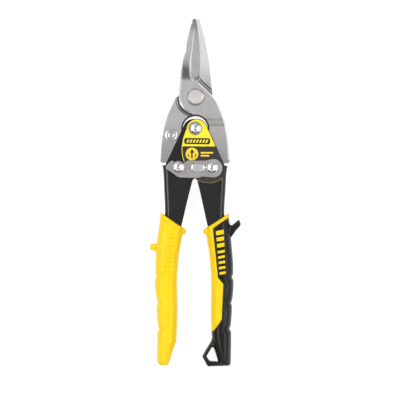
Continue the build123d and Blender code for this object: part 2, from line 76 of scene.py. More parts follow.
class Nodes:
    """Short ways to make, feed and link the nodes of a material or a world."""

    def __init__(self, owner):
        owner.use_nodes = True
        self.tree = owner.node_tree

    def node(self, kind, **settings):
        made = self.tree.nodes.new(kind)
        for name, value in settings.items():
            setattr(made, name, value)
        return made

    def link(self, source, target):
        self.tree.links.new(source, target)

    def feed(self, sockets, *values):
        """Gives each socket in turn its number or vector, or the output that feeds it."""
        for socket, value in zip(sockets, values):
            if isinstance(value, bpy.types.NodeSocket):
                self.link(value, socket)
            else:
                socket.default_value = value

    def math(self, operation, *values):
        made = self.node("ShaderNodeMath", operation=operation)
        self.feed(made.inputs, *values)
        return made.outputs["Value"]

    def vector(self, operation, *values):
        made = self.node("ShaderNodeVectorMath", operation=operation)
        self.feed(made.inputs, *values)
        return made.outputs["Value" if operation in ("DOT_PRODUCT", "DISTANCE") else "Vector"]

    def product(self, *masks):
        found = masks[0]
        for mask in masks[1:]:
            found = self.math("MULTIPLY", found, mask)
        return found

    def parts(self, vector):
        """The X, Y and Z of a vector."""
        made = self.node("ShaderNodeSeparateXYZ")
        self.link(vector, made.inputs["Vector"])
        return made.outputs

    def share(self, source, none, full, low=0.0, high=1.0):
        """Low where the source is at none, high where it is at full, and smooth between."""
        fade = self.node("ShaderNodeMapRange", interpolation_type="SMOOTHSTEP")
        swap = none > full
        for socket, value in (("From Min", full if swap else none), ("From Max", none if swap else full),
                              ("To Min", high if swap else low), ("To Max", low if swap else high)):
            fade.inputs[socket].default_value = value
        self.link(source, fade.inputs["Value"])
        return fade.outputs["Result"]

    def ramp(self, source, *stops):
        """A colour ramp. A stop is (position, grey) or (position, (r, g, b))."""
        ramp = self.node("ShaderNodeValToRGB")
        elements = ramp.color_ramp.elements
        while len(elements) < len(stops):
            elements.new(0.5)
        for element, (position, value) in zip(elements, stops):
            element.position = position
            element.color = (*((value,) * 3 if isinstance(value, float) else value), 1)
        self.link(source, ramp.inputs["Fac"])
        return ramp.outputs["Color"]

    def tones(self, source, dark, light, spread=0.2):
        """From dark to light while the source passes 0.5, from a spread below it to a spread above."""
        return self.ramp(source, (0.5 - spread, dark), (0.5 + spread, light))


class Finish(Nodes):
    """A Principled material and short ways to feed its sockets from procedural textures, in millimetres."""

    def __init__(self, name, colour, roughness, **settings):
        self.material = bpy.data.materials.new(name)
        super().__init__(self.material)
        self.shader = self.tree.nodes["Principled BSDF"]
        self.shader.inputs["Base Color"].default_value = (*colour, 1)
        self.shader.inputs["Roughness"].default_value = roughness
        for socket, value in settings.items():
            self.shader.inputs[socket.replace("_", " ")].default_value = value
        coordinates = self.node("ShaderNodeTexCoord").outputs
        self.place, self.normal = coordinates["Object"], coordinates["Normal"]
        self.heights = []

    def mapped(self, size, turn=0.0):
        """Object coordinates in units of size, which is one length in mm or one for each axis."""
        sizes = size if isinstance(size, tuple) else (size,) * 3
        mapping = self.node("ShaderNodeMapping")
        mapping.inputs["Rotation"].default_value = (0, 0, radians(turn))
        mapping.inputs["Scale"].default_value = [1 / (s * MM) for s in sizes]
        self.link(self.place, mapping.inputs["Vector"])
        return mapping.outputs["Vector"]

    def noise(self, size, detail=2.0, turn=0.0):
        texture = self.node("ShaderNodeTexNoise")
        texture.inputs["Scale"].default_value = 1.0
        texture.inputs["Detail"].default_value = detail
        self.link(self.mapped(size, turn), texture.inputs["Vector"])
        return texture.outputs["Fac"]

    def cells(self, size):
        texture = self.node("ShaderNodeTexVoronoi", feature="SMOOTH_F1")
        texture.inputs["Scale"].default_value = 1.0
        self.link(self.mapped(size), texture.inputs["Vector"])
        return texture.outputs["Distance"]

    def mixed(self, first, second, factor):
        """A mix of two colour outputs, by an output or a number."""
        mix = self.node("ShaderNodeMix", data_type="RGBA")
        self.feed([mix.inputs["Factor"], mix.inputs[COLOUR_A], mix.inputs[COLOUR_B]], factor, first, second)
        return mix.outputs[COLOUR_RESULT]

    def colour(self, source):
        self.link(source, self.shader.inputs["Base Color"])

    def roughness(self, source):
        self.link(source, self.shader.inputs["Roughness"])

    def bump(self, source, depth):
        """Adds relief whose full height is depth, in mm."""
        bump = self.node("ShaderNodeBump")
        bump.inputs["Distance"].default_value = depth * MM
        self.link(source, bump.inputs["Height"])
        if self.heights:
            self.link(self.heights[-1], bump.inputs["Normal"])
        self.heights.append(bump.outputs["Normal"])
        self.link(bump.outputs["Normal"], self.shader.inputs["Normal"])


FINE = 0.15                     # spread of a fine grain's tones, narrower than the usual one
CLOUDS = dict(size=9.0, detail=3.0)         # the cloudy plating that all steel here shares
GRAIN_DEPTH = 0.0010            # relief of ground steel


def satin_steel(name, dark, light, rough, grain, turn=0.0):
    """Ground and plated steel: a fine directional grain, cloudy plating and a few handling scratches."""
    f = Finish(name, light, rough[0], Metallic=1.0)
    streaks = f.noise((grain * 22, grain, grain), detail=3.0, turn=turn)
    clouds = f.noise(**CLOUDS)
    blotches = f.tones(f.noise(3.5), 0.2, 0.8)
    f.colour(f.mixed(f.tones(streaks, dark, light, FINE), f.tones(clouds, dark, light), blotches))
    f.roughness(f.tones(clouds, *rough))
    f.bump(streaks, GRAIN_DEPTH)
    scratches = f.noise((0.15, 7.0, 7.0), detail=1.0, turn=turn + 27)
    f.bump(f.ramp(scratches, (0.66, 0.0), (0.72, 1.0)), depth=0.0012)
    return f.material


# a band of painted shadow round an upright axis, by the distance from it, which stops at y_end towards the tips
ShadowRing = namedtuple("ShadowRing", "centre begin end shade y_end")
# painted light beside the front blade's straight edge, by the distance from that edge into the blade: a painted
# highlight on the front blade, in the place of a bevel, and a painted shadow of the gap on the rear blade
PaintedEdgeLight = namedtuple("PaintedEdgeLight", "begin full end shade")

# masks on the blades, by place or by the direction of a face, each as where it begins and where it is full
JAW_GROUND_HIGHLIGHT_Y = (7.5, 27.5)      # the inner faces are ground, with a painted highlight that grows towards the tips
LOW_TANG_Y = (-18.0, -50.0)     # the tangs grow darker towards their lower ends
THIN_SIDE_Y = (11.0, 15.0)      # painted shade darkens the jaw's thin outer side as much
STEP_Y = (14.0, 24.0)           # the leaning face of the step is rough, with a painted highlight
# painted shade darkens the front jaw towards its tip
TIP_DARK_Y = (44.0, 55.5)
TIP_MATT_Y = (52.0, 55.0)
FACE_NORMAL = (0.80, 0.97)      # along Z, on the flat inner and outer faces
THIN_SIDE_NORMAL = (0.06, 0.10)             # along X
STEP_NORMAL = (0.35, 0.55)                  # along X
UPPER_NORMAL = (0.35, 0.60)                 # along Z, on all that is seen from above
DARKER_SHARE = (0.70, 0.74)           # what is left of the dark and the light tone where the steel is darker: towards the tangs' lower ends, and in painted shade on the thin side
EDGE_CIRCLE = (-147.09, 25.52, 150.04)      # centre and radius of the front blade's cutting edge
EDGE_SHADOW_WIDTH = 0.85                    # width of the painted shadow along it, in the place of the shaded gap beside the cutting edge
EDGE_SHADOW_FADE = (-0.25, 0.10)
EDGE_SHADOW_Y = (19.5, 21.5)
DIAGONAL_INWARD = (-0.687, -0.727)          # square to the front blade's straight edge, into the blade
DIAGONAL_OFFSET = -9.46                     # where that edge lies along this direction
DIAGONAL_FADE = 0.3
DIAGONAL_LEFT_X = (0.0, 3.0)
DIAGONAL_RIGHT_X = (16.5, 14.5)
RING_FADE_IN, RING_FADE_OUT, RING_FADE_Y = 0.25, 0.45, 3.0
GROUND_HIGHLIGHT_TONES = ((0.93, 0.915, 0.91), (1.0, 0.99, 0.985))
EDGE_SHADOW_TONES = ((0.20, 0.18, 0.175), (0.34, 0.315, 0.305))
STEP_HIGHLIGHT_TONES = (0.93, 1.0)
MATT_ROUGH = (0.60, 0.70)


def blade_steel(name, dark, light, rough, inner, mirror, rings, painted_edge_light, tip_painted_shade=None):
    """Satin plated steel, with the jaw's inner face ground and lightened by a painted highlight, and a painted
    shadow along its cutting edge. Painted shade darkens the thin side and the tip, and painted light lies
    beside the straight edge and in rings. Inner is the direction of the inner face along Z, and mirror the side
    of the jaw along X."""
    f = Finish(name, light, rough[0], Metallic=1.0)
    streaks = f.noise((3.2, 0.13, 0.13), detail=3.0)
    clouds = f.noise(**CLOUDS)
    place, normal = f.parts(f.place), f.parts(f.normal)
    flat = f.vector("MULTIPLY", f.place, (1, 1, 0))

    def placed(axis, limits):
        return f.share(place[axis], limits[0] * MM, limits[1] * MM)

    def facing(axis, limits, side=1):
        return f.share(normal[axis], limits[0] * side, limits[1] * side)

    def from_axis(x, y):
        return f.vector("DISTANCE", flat, (x * MM, y * MM, 0))

    plated = f.mixed(f.tones(streaks, dark, light, FINE), f.tones(clouds, dark, light), 0.5)
    darker_tone = f.tones(streaks, [c * DARKER_SHARE[0] for c in dark], [c * DARKER_SHARE[1] for c in light], FINE)
    surface = f.mixed(plated, darker_tone, placed("Y", LOW_TANG_Y))

    # ground finish on the jaw's inner face, lightened by a painted highlight towards the tips
    ground_highlight = f.tones(f.noise((2.4, 0.1, 0.1)), *GROUND_HIGHLIGHT_TONES, FINE)
    surface = f.mixed(surface, ground_highlight, f.product(facing("Z", FACE_NORMAL, inner), placed("Y", JAW_GROUND_HIGHLIGHT_Y)))

    # painted shadow along the cutting edge, where the gap beside it lies in shade
    from_centre = from_axis(mirror * EDGE_CIRCLE[0], EDGE_CIRCLE[1])
    edge_shadow_begin = EDGE_CIRCLE[2] - EDGE_SHADOW_WIDTH
    rim = f.share(from_centre, (edge_shadow_begin + EDGE_SHADOW_FADE[0]) * MM, (edge_shadow_begin + EDGE_SHADOW_FADE[1]) * MM)
    edge_shadow = f.product(rim, facing("Z", FACE_NORMAL, -inner), placed("Y", EDGE_SHADOW_Y))
    surface = f.mixed(surface, f.tones(f.noise((0.1, 0.6, 0.6)), *EDGE_SHADOW_TONES), edge_shadow)

    # painted shade on the jaw's thin outer side
    thin_side = f.product(facing("X", THIN_SIDE_NORMAL, mirror), placed("Y", THIN_SIDE_Y))
    surface = f.mixed(surface, darker_tone, thin_side)
    # painted highlight on the leaning face of the step, which is also rougher
    matt_and_highlight = f.product(facing("X", STEP_NORMAL, mirror), placed("Y", STEP_Y))
    surface = f.mixed(surface, f.tones(streaks, *STEP_HIGHLIGHT_TONES), matt_and_highlight)
    # painted shade on the jaw's tip
    if tip_painted_shade:
        surface = f.mixed(surface, f.tones(clouds, tip_painted_shade * 0.8, tip_painted_shade), placed("Y", TIP_DARK_Y))
        matt_and_highlight = f.math("MAXIMUM", matt_and_highlight, placed("Y", TIP_MATT_Y))

    # painted light beside the front blade's straight edge: a highlight on the front blade, a shadow on the rear
    # one
    depth = f.math("SUBTRACT", f.vector("DOT_PRODUCT", flat, (*DIAGONAL_INWARD, 0)), DIAGONAL_OFFSET * MM)
    last, fade = painted_edge_light.end * MM, DIAGONAL_FADE * MM
    band = f.product(f.share(depth, painted_edge_light.begin * MM, painted_edge_light.full * MM),
                     f.share(depth, last + fade, last - fade),
                     placed("X", DIAGONAL_LEFT_X), placed("X", DIAGONAL_RIGHT_X), facing("Z", UPPER_NORMAL))
    surface = f.mixed(surface, f.tones(clouds, painted_edge_light.shade * 0.94, painted_edge_light.shade), band)
    # painted shadows in rings round upright axes
    for ring in rings:
        away = from_axis(*ring.centre)
        painted_shadow = f.product(f.share(away, ring.begin * MM, (ring.begin + RING_FADE_IN) * MM),
                         f.share(away, ring.end * MM, (ring.end - RING_FADE_OUT) * MM),
                         placed("Y", (ring.y_end, ring.y_end - RING_FADE_Y)))
        surface = f.mixed(surface, f.tones(clouds, ring.shade * 0.7, ring.shade), painted_shadow)

    f.colour(surface)
    f.roughness(f.mixed(f.tones(clouds, *rough), f.tones(streaks, *MATT_ROUGH), matt_and_highlight))
    f.bump(streaks, GRAIN_DEPTH)
    f.bump(f.noise(1.4), depth=0.0020)
    return f.material


def polished_steel(name, dark, light, rough):
    f = Finish(name, light, rough[0], Metallic=1.0)
    f.colour(f.ramp(f.noise(2.5, detail=3.0), (0.35, dark), (0.7, light)))
    f.roughness(f.tones(f.noise(1.2, detail=3.0), *rough))
    f.bump(f.noise(1.6, detail=1.0), depth=0.0012)
    return f.material


def gloss_paint(name, dark, light, rough):
    """Black enamel over pressed sheet, with the faint orange peel of a dipped finish."""
    f = Finish(name, light, rough[0], Specular_IOR_Level=0.38, Coat_Weight=0.14, Coat_Roughness=0.1)
    f.colour(f.tones(f.noise(14.0, detail=3.0), dark, light))
    f.roughness(f.tones(f.noise(4.0, detail=3.0), *rough))
    f.bump(f.noise(1.6, detail=1.0), depth=0.006)
    f.bump(f.noise(0.22, detail=1.0), depth=0.0008)
    return f.material


def moulded(name, dark, light, rough, grain, depth, **settings):
    """Moulded plastic or rubber with the fine matt grain of its mould and slight shifts of shade."""
    f = Finish(name, light, rough[0], **settings)
    shifts = f.tones(f.noise(17.0), dark, light)
    specks = f.ramp(f.noise(grain * 3, detail=3.0), (0.35, dark), (0.6, light))
    f.colour(f.mixed(shifts, specks, f.tones(f.noise(5.0), 0.1, 0.45)))
    f.roughness(f.tones(f.noise(2.4, detail=3.0), *rough))
    f.bump(f.cells(grain), depth)
    f.bump(f.noise(6.0), depth * 3)
    return f.material


def printed(name, dark, light):
    """Ink on a laminated label."""
    f = Finish(name, light, 0.3, Coat_Weight=0.3, Coat_Roughness=0.12)
    f.colour(f.tones(f.noise(3.0, detail=4.0), dark, light, FINE))
    f.roughness(f.tones(f.noise(0.8), 0.26, 0.4))
    f.bump(f.noise(2.2), depth=0.006)
    return f.material


# painted shadows: the shaded wall of the opening round the handles' rivet, the shadow under the edge of the
# front blade's disc, and the shadow round the bolt's head
OPENING_RING = ShadowRing(centre=RIVET, begin=8.8, end=10.3, shade=0.05, y_end=6.0)
DISC_RING = ShadowRing(centre=(0.0, 0.0), begin=12.0, end=13.6, shade=0.09, y_end=6.0)
BOLT_RING = ShadowRing(centre=(0.0, 0.0), begin=4.8, end=6.6, shade=0.46, y_end=10.0)
BLADE_ROUGH = (0.17, 0.23)
# the front blade: a painted highlight beside its straight edge and painted shade at its tip
BLADE = blade_steel("blade_steel", (0.62, 0.61, 0.605), (0.71, 0.70, 0.695), BLADE_ROUGH, inner=-1, mirror=1,
                    rings=[OPENING_RING, BOLT_RING],
                    painted_edge_light=PaintedEdgeLight(begin=0.0, full=0.4, end=1.3, shade=0.98), tip_painted_shade=0.25)
# the rear blade: a painted shadow beside the front blade's straight edge
REAR_BLADE = blade_steel("blade_steel_rear", (0.60, 0.585, 0.575), (0.69, 0.675, 0.665), BLADE_ROUGH, inner=1,
                         mirror=-1, rings=[OPENING_RING, DISC_RING],
                         painted_edge_light=PaintedEdgeLight(begin=-1.6, full=-0.4, end=0.6, shade=0.05))
BOLT = satin_steel("bolt_steel", (0.70, 0.66, 0.645), (0.87, 0.83, 0.805), rough=(0.25, 0.33), grain=0.2)
ZINC = satin_steel("zinc", (0.50, 0.49, 0.47), (0.66, 0.65, 0.63), rough=(0.28, 0.42), grain=0.25)
LATCH = satin_steel("latch_steel", (0.46, 0.45, 0.44), (0.58, 0.57, 0.56), (0.2, 0.3), grain=0.2, turn=15)
CHROME = polished_steel("rivet_chrome", (0.78, 0.765, 0.765), (0.90, 0.89, 0.89), rough=(0.04, 0.08))
SPRING = polished_steel("spring_steel", (0.20, 0.19, 0.18), (0.34, 0.33, 0.32), rough=(0.25, 0.38))
PAINT = gloss_paint("handle_paint", (0.0035, 0.0033, 0.0035), (0.0065, 0.006, 0.0065), rough=(0.2, 0.28))
YELLOW = moulded("grip_yellow", (0.80, 0.555, 0.001), (0.855, 0.59, 0.002), rough=(0.34, 0.44), grain=0.30,
                 depth=0.008, Specular_IOR_Level=0.24)
RUBBER = moulded("overmould", (0.003, 0.003, 0.003), (0.006, 0.0058, 0.0057), rough=(0.28, 0.36), grain=0.28,
                 depth=0.008, Specular_IOR_Level=0.26)
NYLON = moulded("nylon", (0.55, 0.56, 0.55), (0.70, 0.71, 0.69), rough=(0.35, 0.45), grain=0.3, depth=0.004)
LABEL_BLACK = printed("label_black", (0.012, 0.010, 0.010), (0.020, 0.018, 0.017))
LABEL_YELLOW = printed("label_yellow", (0.78, 0.65, 0.005), (0.86, 0.72, 0.008))
LABEL_GOLD = printed("label_gold", (0.86, 0.55, 0.008), (0.94, 0.62, 0.012))
LABEL_OLIVE = printed("label_olive", (0.16, 0.14, 0.010), (0.26, 0.23, 0.016))

FINISHED_NODES = (
    (BLADE, ["blade_front"]), (REAR_BLADE, ["blade_rear"]), (BOLT, ["pivot_bolt"]), (NYLON, ["nut_insert"]),
    (PAINT, ["handle_right", "handle_left"]), (LABEL_BLACK, ["front_label"]), (LATCH, ["latch"]),
    (CHROME, ["rivet_handle_pivot", "rivet_right_tang", "rivet_left_tang", "latch_stud"]),
    (ZINC, ["pivot_washer", "pivot_nut", "burr_washer_handle_pivot", "burr_washer_right_tang",
            "burr_washer_left_tang", "tang_spacer_front", "tang_spacer_back", "spring_sleeve", "latch_washer"]))
for finish, nodes in FINISHED_NODES:
    for node in nodes:
        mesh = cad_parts[node].data
        mesh.materials.clear()
        mesh.materials.append(finish)


# ---- outlines ----
def arc(start, middle, end, steps=14):
    """Points on the circle through three points, after start and up to end."""
    a, b, c = (np.array(p, float) for p in (start, middle, end))
    d = 2 * (a[0] * (b[1] - c[1]) + b[0] * (c[1] - a[1]) + c[0] * (a[1] - b[1]))
    centre = np.array([a @ a * (b[1] - c[1]) + b @ b * (c[1] - a[1]) + c @ c * (a[1] - b[1]),
                       a @ a * (c[0] - b[0]) + b @ b * (a[0] - c[0]) + c @ c * (b[0] - a[0])]) / d
    radius = np.hypot(*(a - centre))
    angles = [np.arctan2(*(p - centre)[::-1]) for p in (a, b, c)]
    turn, part = (angles[2] - angles[0]) % (2 * pi), (angles[1] - angles[0]) % (2 * pi)
    if part > turn:
        turn -= 2 * pi
    turned = [angles[0] + turn * i / steps for i in range(1, steps + 1)]
    return [tuple(centre + radius * np.array([cos(angle), sin(angle)])) for angle in turned]


def through(*points, steps=8):
    """A smooth curve through the points, after the first one."""
    p = [np.array(q, float) for q in (points[0], *points, points[-1])]
    found = []
    for a, b, c, d in zip(p, p[1:], p[2:], p[3:]):
        for i in range(1, steps + 1):
            t = i / steps
            found.append(tuple(((2 * b) + (c - a) * t + (2 * a - 5 * b + 4 * c - d) * t * t
                                + (3 * b - a - 3 * c + d) * t ** 3) / 2))
    return found


def circle(centre, radius, steps=48):
    return [(centre[0] + radius * cos(2 * pi * i / steps), centre[1] + radius * sin(2 * pi * i / steps))
            for i in range(steps)]


def divided(loop, spacing):
    """The closed loop with its long segments divided."""
    found = []
    for a, b in zip(loop, loop[1:] + loop[:1]):
        count = max(1, int(np.ceil(np.hypot(b[0] - a[0], b[1] - a[1]) / spacing)))
        found += [(a[0] + (b[0] - a[0]) * i / count, a[1] + (b[1] - a[1]) * i / count) for i in range(count)]
    return found


def inside(points, loop):
    """Which points lie inside the closed loop."""
    x, y = points[:, 0], points[:, 1]
    found = np.zeros(len(points), bool)
    for (ax, ay), (bx, by) in zip(loop, loop[1:] + loop[:1]):
        if ay != by:
            found ^= ((ay > y) != (by > y)) & (x < (bx - ax) * (y - ay) / (by - ay) + ax)
    return found


def distances(points, loop, closed=True):
    """Distance of each point from each segment of the loop, as points x segments."""
    a = np.array(loop if closed else loop[:-1], float)
    b = np.array(loop[1:] + loop[:1] if closed else loop[1:], float)
    along = b - a
    t = np.einsum("psi,si->ps", points[:, None] - a[None], along) / np.maximum((along ** 2).sum(1), 1e-12)
    t = np.clip(t, 0, 1)
    nearest = a[None] + t[..., None] * along[None]
    return np.hypot(points[:, None, 0] - nearest[..., 0], points[:, None, 1] - nearest[..., 1])


def near(points, line, width):
    """A smooth bump, 1 on the open line and 0 from about twice width away."""
    return np.exp(-(distances(points, line, closed=False).min(1) / width) ** 2)


def step(value, none, full):
    """0 at none and 1 at full, whichever is the larger, and smooth between."""
    t = np.clip((value - none) / (full - none), 0, 1)
    return t * t * (3 - 2 * t)


# ---- meshes ----
ROW = 0.87                      # distance between the rows of a triangular grid, as a share of its spacing
CHUNK = 2000                    # points worked on at a time
LINE_GAP = 0.15                 # no free point lies nearer than this to a line kept as edges
MERGE = 0.12                    # free points in the same square of this size count as one
ROUNDING = 2.3                  # power of the rounded sections; 2 would be a quarter circle


def mesh_object(name, vertices, faces, material, smooth=True):
    """A mesh object from millimetres."""
    mesh = bpy.data.meshes.new(name)
    mesh.from_pydata([Vector(v) * MM for v in vertices], [], faces)
    mesh.validate()
    mesh.update()
    mesh.materials.append(material)
    mesh.polygons.foreach_set("use_smooth", [smooth] * len(mesh.polygons))
    made = bpy.data.objects.new(name, mesh)
    bpy.context.scene.collection.objects.link(made)
    return made


def open_edges(faces):
    """The edges that only one face has, in that face's direction."""
    edges = {(a, b) for f in faces for a, b in zip(f, f[1:] + f[:1])}
    return [(a, b) for a, b in edges if (b, a) not in edges]


def grid(gap, first, last):
    """A triangular grid of points between two corners."""
    xs, ys = np.arange(first[0], last[0], gap), np.arange(first[1], last[1], gap * ROW)
    gx, gy = np.meshgrid(xs, ys)
    gx = gx + (np.arange(len(ys)) % 2)[:, None] * gap / 2
    return np.stack([gx.ravel(), gy.ravel()], 1)


def inset(loop, depth, outer):
    """The points of a loop, moved by depth into the filled area: inside the outer loop, or outside a hole."""
    ring = np.array(loop)
    tangent = np.roll(ring, -1, 0) - np.roll(ring, 1, 0)
    tangent /= np.maximum(np.hypot(*tangent.T), 1e-9)[:, None]
    area = (ring[:, 0] * np.roll(ring[:, 1], -1) - np.roll(ring[:, 0], -1) * ring[:, 1]).sum()
    normal = np.stack([-tangent[:, 1], tangent[:, 0]], 1) * (np.sign(area) if outer else -np.sign(area))
    return ring + normal * depth


def within_loops(points, loops):
    """Which points lie inside the first loop and outside the others."""
    found = inside(points, loops[0])
    for hole in loops[1:]:
        found &= ~inside(points, hole)
    return found


def flat_mesh(loops, lines=(), spacing=0.7, rings=(), dense=()):
    """Points and triangles that fill the closed loops, and which of the points lie on a loop. The first loop
    is the outside, and open lines are kept as edges. Rings of points lie at those distances inside the loops,
    and a grid of spacing fills the rest. A dense zone is (loop, spacing)."""
    loops = [divided(loop, spacing) for loop in loops]
    points = [p for loop in loops for p in loop]
    edges, start = [], 0
    for loop in loops:
        edges += [(start + i, start + (i + 1) % len(loop)) for i in range(len(loop))]
        start += len(loop)
    rim_count = len(points)
    for line in lines:
        dots = divided(list(line), spacing)
        dots = dots[:dots.index(line[-1]) + 1]
        edges += [(start + i, start + i + 1) for i in range(len(dots) - 1)]
        start += len(dots)
        points += dots
    fixed = np.array(points)

    fill = grid(spacing, fixed.min(0), fixed.max(0))
    for zone, gap in dense:
        fill = fill[~inside(fill, zone)]
        zone_points = grid(gap, np.min(zone, 0), np.max(zone, 0))
        fill = np.concatenate([fill, zone_points[inside(zone_points, zone)]])
    edge_depth = rings[-1] if rings else spacing * 0.6
    candidates = [(inset(loop, depth, n == 0), depth) for depth in rings for n, loop in enumerate(loops)]
    candidates.append((fill, edge_depth + spacing * 0.4))
    kept = []
    for cloud, depth in candidates:
        for part in np.array_split(cloud, max(1, len(cloud) // CHUNK)):
            part = part[within_loops(part, loops)]
            if len(part):
                gaps = np.min([distances(part, loop).min(1) for loop in loops], 0)
                part = part[gaps > depth * 0.96]
            if len(part) and lines:
                gaps = np.min([distances(part, list(line), closed=False).min(1) for line in lines], 0)
                part = part[gaps > LINE_GAP]
            kept.append(part)
    cloud = np.concatenate(kept)
    cloud = cloud[np.unique(np.round(cloud / MERGE).astype(int), axis=0, return_index=True)[1]]

    everything = [Vector(p) for p in np.concatenate([fixed, cloud])]
    made, _, triangles, sources = delaunay_2d_cdt(everything, edges, [], 1, 1e-5)[:4]
    found = np.array([tuple(v) for v in made])
    faces = [tuple(f) for f in triangles]
    wanted = within_loops(np.array([found[list(f)].mean(0) for f in faces]), loops)
    rim = np.array([any(s < rim_count for s in each) for each in sources])
    return found, [f for f, w in zip(faces, wanted) if w], rim


def solid_of(points, faces, rim, height, name, material, keep=None):
    """A closed body, alike in front and behind, whose half thickness over each point is height. It closes in
    the rim, where the height is 0, and keep picks some of its faces, whose other edges get a wall."""
    chosen = faces if keep is None else [f for f, k in zip(faces, keep) if k]
    used = sorted({i for f in chosen for i in f})
    inner = [i for i in used if not rim[i]]
    vertices = [(*points[i], MID + (0 if rim[i] else height[i])) for i in used]
    vertices += [(*points[i], MID - height[i]) for i in inner]
    front = {i: n for n, i in enumerate(used)}
    back = front | {i: len(used) + n for n, i in enumerate(inner)}
    made = [tuple(front[i] for i in f) for f in chosen]
    made += [tuple(back[i] for i in reversed(f)) for f in chosen]
    for a, b in open_edges(chosen):
        if not (rim[a] and rim[b]):
            made.append(tuple(dict.fromkeys((front[b], front[a], back[a], back[b]))))
    return mesh_object(name, vertices, made, material)


def layer(points, faces, tops, bottoms):
    """Vertices and faces of a closed layer between two heights over each point."""
    count = len(points)
    vertices = [(*p, z) for p, z in zip(points, tops)] + [(*p, z) for p, z in zip(points, bottoms)]
    made = faces + [tuple(i + count for i in reversed(f)) for f in faces]
    return vertices, made + [(b, a, a + count, b + count) for a, b in open_edges(faces)]


def section(t):
    """Height of a rounded section at a share of the way in from its edge."""
    return (1 - (1 - np.clip(t, 0, 1)) ** ROUNDING) ** (1 / ROUNDING)


class Form:
    """A moulded body of one half thickness. Its loop comes as (radius, points) runs, and it rounds off
    towards each stretch of the loop by that radius."""

    def __init__(self, height, *runs):
        self.height = height
        self.loop = [p for _, points in runs for p in points]
        self.radius = np.array([radius for radius, points in runs for _ in points], float)

    def over(self, points):
        found = np.zeros(len(points))
        for start in range(0, len(points), CHUNK):
            part = points[start:start + CHUNK]
            share = (distances(part, self.loop) / self.radius[None]).min(1)
            found[start:start + CHUNK] = np.where(inside(part, self.loop), self.height * section(share), 0)
        return found


# ---- grips ----
GRIP_RINGS = (0.04, 0.14, 0.32, 0.6, 1.0, 1.6, 2.4, 3.3, 4.3)
BODY_HALF = GRIP_HALF - 0.9     # half thickness of a grip's body
GUARD_HALF = 5.5                # half thicknesses of the thumb guards, the hang loop and the stops
LOOP_HALF = 6.0
STOP_HALF = 6.5
SIDE_R = 6.4                    # rounding of a grip's sides
FOOT_R = 4.5                    # rounding of its lower end
MOUTH_R = 0.8                   # rounding of the end where the handle enters
STOP_R = 1.5
LEFT_GUARD_R = 1.6
RIGHT_GUARD_R = 1.2
LOOP_R = 1.4                    # rounding of the hang loop, outside and in its hole
LOOP_ROOT_R = 4.0               # and where it runs into the grip
BURIED_R = 6.0                  # rounding towards sides that lie inside the grip's body
COLLAR = 0.7                    # how far the collar stands out
LEFT_COLLAR = (3.6, 2.6)        # distances from the mouth where the collars begin and are full
RIGHT_COLLAR = (3.0, 2.0)
FULL = (2.0, 8.0)               # details fade in between these half thicknesses
GRID = 0.75                     # spacing of a grip's points
PANEL_GRID = 0.36
GROOVE_HALF = 0.65              # half width of a finger groove
GROOVE_SLANT = 0.12
GROOVE_FADE = (5.5, 1.0)        # distances in from the side where a groove begins and is full
LEFT_GROOVE, RIGHT_GROOVE = 1.1, 1.3        # depths of the finger grooves


def finger_grooves(points, places, side):
    """Short grooves that wrap over the outer side between the finger swells."""
    found = np.zeros(len(points))
    for x, y in places:
        inward = (x - points[:, 0]) * side
        off = (points[:, 1] - y + GROOVE_SLANT * inward) / GROOVE_HALF
        found += np.exp(-off ** 2) * step(inward, *GROOVE_FADE)
    return found


LEFT_NOTCHES = [(-24.9, -166.4), (-25.9, -147.4), (-27.1, -128.9)]
left_low = [(-26.2, -188.4), (-26.1, -176.0), (-26.1, -168.5), LEFT_NOTCHES[0],
            *through((-25.6, -164.6), (-26.2, -159.4), (-26.8, -153.5), (-26.8, -149.3)), LEFT_NOTCHES[1],
            *through((-26.6, -145.6), (-27.6, -140.0), (-28.1, -134.5), (-28.0, -130.9)), LEFT_NOTCHES[2],
            *through((-27.7, -127.2), (-27.9, -120.5), (-27.5, -113.0))]
left_guard = [*arc((-27.5, -113.0), (-28.5, -110.5), (-31.2, -109.9)), (-31.8, -109.3), (-31.8, -105.7),
              (-31.4, -105.2), (-27.9, -105.0)]
left_high = [(-27.3, -104.6), *through((-27.3, -104.6), (-26.1, -97.0), (-25.0, -89.0), (-24.6, -82.4))]
left_mouth = [(-9.3, -92.7)]
left_stop = [(-6.6, -94.6), (-6.0, -95.4), (-6.0, -97.4), (-6.6, -98.1)]
left_inner = [(-8.4, -98.2),
              *through((-8.4, -98.2), (-10.9, -114.0), (-12.1, -133.0), (-11.5, -153.0), (-12.3, -175.0))]
left_foot = [(-17.5, -191.2), *arc((-17.5, -191.2), (-18.2, -192.1), (-19.2, -192.4), 5), (-21.8, -192.4),
             *arc((-21.8, -192.4), (-25.2, -191.2), (-26.2, -188.4), 8)[:-1]]
left_outline = left_low + left_guard + left_high + left_mouth + left_stop + left_inner + left_foot

left_body = Form(BODY_HALF, (SIDE_R, left_low), (SIDE_R, [(-27.7, -107.0)]), (SIDE_R, left_high[:-1]),
                 (MOUTH_R, left_high[-1:] + left_mouth), (SIDE_R, [(-8.2, -93.5)]), (SIDE_R, left_inner),
                 (FOOT_R, left_foot))
left_guard_form = Form(GUARD_HALF, (LEFT_GUARD_R, [(-27.5, -113.0)] + left_guard),
                       (BURIED_R, [(-22.0, -104.0), (-22.0, -114.0)]))
left_stop_form = Form(STOP_HALF, (MOUTH_R, left_mouth), (STOP_R, left_stop),
                      (BURIED_R, [(-10.0, -98.4), (-12.5, -95.0)]))

PANEL = [(-19.4, -97.2), (-11.4, -98.3), (-16.0, -126.4), (-22.1, -126.4)]
FRAME_RISE, FRAME_WIDTH = 0.65, 0.55
RIBS = 9
RIB_RISE, RIB_WIDTH = 0.60, 0.5
RIB_ENDS = (0.24, 0.76)         # as shares of the way across the panel
FIRST_GAP, LAST_GAP = 0.9, 0.9  # from the panel's ends to the first and the last rib, in pitches of the ribs


